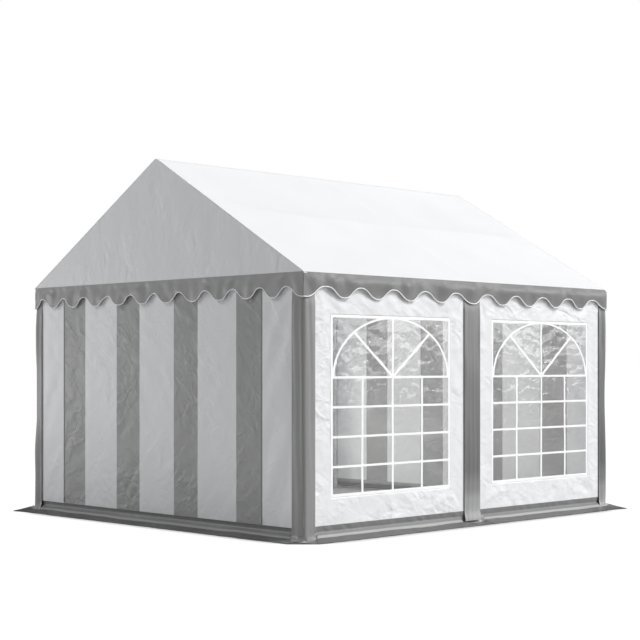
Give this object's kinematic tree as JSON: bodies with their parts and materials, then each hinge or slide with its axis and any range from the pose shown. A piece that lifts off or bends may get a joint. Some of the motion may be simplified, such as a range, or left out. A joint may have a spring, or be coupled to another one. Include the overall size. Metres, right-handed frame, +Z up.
{
  "type": "marquee tent",
  "caption": "Gabled party marquee: a tube frame under a fitted coated-fabric cover with scalloped valances, arched clear windows, a striped zipped entrance gable and a ground flap.",
  "frame": {"origin": "on the ground at the middle of the tent's outer box, ground flap included", "axes": "+X to the right-hand long wall, +Y along the ridge from the entrance gable to the back, +Z up"},
  "size_m": [3.8746, 4.2546, 3.132],
  "materials": {
    "white_cloth": "semi-gloss coated polyester, with fine weave",
    "grey_cloth": "semi-gloss coated polyester, with fine weave",
    "striped_cloth": "white coated polyester with broad grey upright stripes",
    "clear_film": "glossy clear film, slightly rippled",
    "steel_tube": "galvanised"
  },
  "bodies": {
    "root": {"back_wall": "striped_cloth", "corner_strip_back_left": "grey_cloth", "corner_strip_back_right": "grey_cloth", "corner_strip_front_left": "grey_cloth", "corner_strip_front_right": "grey_cloth", "eaves_rail_left_back": "steel_tube", "eaves_rail_left_front": "steel_tube", "eaves_rail_right_back": "steel_tube", "eaves_rail_right_front": "steel_tube", "front_door": "striped_cloth", "front_wall_left": "striped_cloth", "front_wall_right": "striped_cloth", "gable_back": "white_cloth", "gable_front": "white_cloth", "gable_tie_back": "steel_tube", "gable_tie_front": "steel_tube", "ground_flap_back": "grey_cloth", "ground_flap_front": "grey_cloth", "ground_flap_left": "grey_cloth", "ground_flap_right": "grey_cloth", "left_wall": "white_cloth", "left_window_back": "clear_film", "left_window_front": "clear_film", "mid_strip_left": "grey_cloth", "mid_strip_right": "grey_cloth", "post_back_left": "steel_tube", "post_back_right": "steel_tube", "post_front_left": "steel_tube", "post_front_right": "steel_tube", "post_mid_left": "steel_tube", "post_mid_right": "steel_tube", "purlin_left_back": "steel_tube", "purlin_left_front": "steel_tube", "purlin_right_back": "steel_tube", "purlin_right_front": "steel_tube", "ridge_rail_back": "steel_tube", "ridge_rail_front": "steel_tube", "right_wall": "white_cloth", "right_window_back": "clear_film", "right_window_front": "clear_film", "roof_arch_back": "steel_tube", "roof_arch_front": "steel_tube", "roof_arch_mid": "steel_tube", "roof_cover": "white_cloth", "valance_back": "grey_cloth", "valance_front": "grey_cloth", "valance_left": "grey_cloth", "valance_right": "grey_cloth"}
  },
  "joints": []
}
